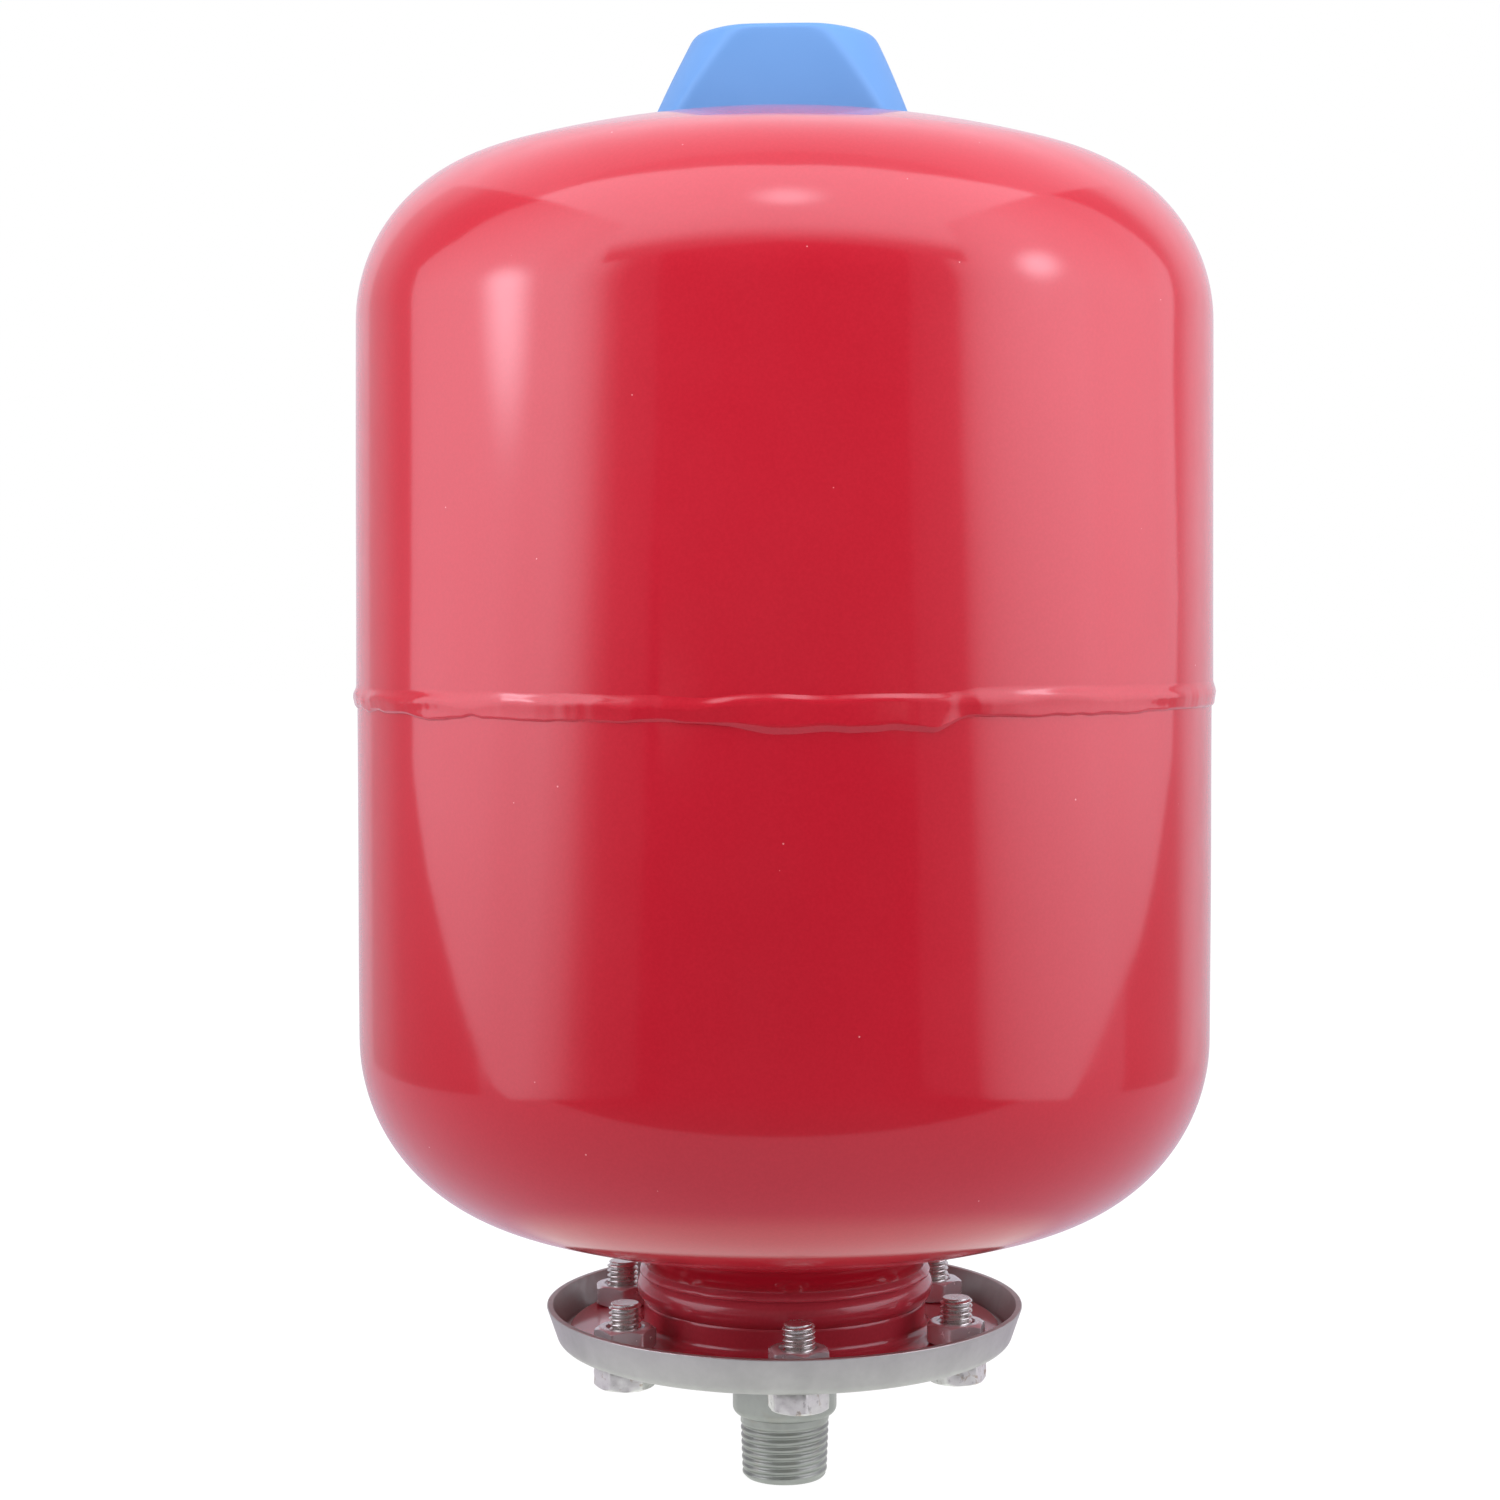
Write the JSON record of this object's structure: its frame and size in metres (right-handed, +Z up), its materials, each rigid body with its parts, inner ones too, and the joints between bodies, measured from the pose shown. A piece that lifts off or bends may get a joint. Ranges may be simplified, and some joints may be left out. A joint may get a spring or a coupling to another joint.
{
  "type": "expansion vessel",
  "caption": "Upright two-shell steel expansion vessel with a girth weld, bolted neck flange, male pipe nipple below and a lobed screw cover over its air valve.",
  "frame": {"origin": "centre of the open lower end of the pipe nipple", "axes": "+Z up the vessel's axis from the pipe nipple to the valve cover; -Y faces the front flange bolt and one finger grip of the cover; +X to the right seen from -Y"},
  "size_m": [0.2082, 0.2082, 0.3507],
  "materials": {
    "red_coat": "glossy powder coat",
    "galvanised_sheet": "matte galvanised",
    "zinc_bolt": "stained zinc plating",
    "zinc_nut": "bright zinc plating",
    "zinc_nipple": "dull zinc plating",
    "weld_steel": "bare steel",
    "brass": "turned",
    "spring_steel": "bright wire",
    "epdm": "matte",
    "black_plastic": "moulded",
    "blue_plastic": "satin moulded polypropylene"
  },
  "bodies": {
    "vessel": {"upper_shell": "red_coat", "lower_shell": "red_coat", "girth_weld": "red_coat", "neck_collar": "red_coat", "neck_weld": "red_coat", "counter_flange": "galvanised_sheet", "flange_bolt_1": "zinc_bolt", "flange_bolt_2": "zinc_bolt", "flange_bolt_3": "zinc_bolt", "flange_bolt_4": "zinc_bolt", "flange_bolt_5": "zinc_bolt", "flange_bolt_6": "zinc_bolt", "flange_nut_1": "zinc_nut", "flange_nut_2": "zinc_nut", "flange_nut_3": "zinc_nut", "flange_nut_4": "zinc_nut", "flange_nut_5": "zinc_nut", "flange_nut_6": "zinc_nut", "connection_nipple": "zinc_nipple", "nipple_weld": "weld_steel", "bladder": "epdm", "valve_boss": "weld_steel", "valve_boss_weld": "weld_steel", "valve_stem": "brass", "valve_core_body": "brass", "valve_core_spring": "spring_steel"},
    "cover_carriage": {"cover_gasket": "epdm"},
    "cover": {"valve_cover": "blue_plastic"},
    "dust_cap_carriage": {"dust_cap_seal": "epdm"},
    "dust_cap": {"valve_dust_cap": "black_plastic"},
    "valve_pin": {"valve_core_pin": "brass", "valve_core_seal": "epdm"}
  },
  "joints": [
    {"name": "cover_turn", "type": "hinge", "parent": "cover_carriage", "child": "cover", "pos_m": [0, 0, 0.3507], "axis": [0, 0, 1], "range_deg": [0, 1440]},
    {"name": "cover_lift", "type": "slide", "parent": "vessel", "child": "cover_carriage", "axis": [0, 0, 1], "range_m": [0, 0.008]},
    {"name": "dust_cap_turn", "type": "hinge", "parent": "dust_cap_carriage", "child": "dust_cap", "pos_m": [0, 0, 0.343], "axis": [0, 0, 1], "range_deg": [0, 2160]},
    {"name": "dust_cap_lift", "type": "slide", "parent": "vessel", "child": "dust_cap_carriage", "axis": [0, 0, 1], "range_m": [0, 0.00477]},
    {"name": "valve_pin_press", "type": "slide", "parent": "vessel", "child": "valve_pin", "axis": [0, 0, -1], "range_m": [0, 0.0012], "stiffness_N_per_m": 500, "springref_m": -0.002, "deforming": ["valve_core_spring"]}
  ],
  "couplings": [
    {"joint": "cover_lift", "follows": "cover_turn", "m_per_rad": 0.0003183},
    {"joint": "dust_cap_lift", "follows": "dust_cap_turn", "m_per_rad": 0.0001264}
  ]
}
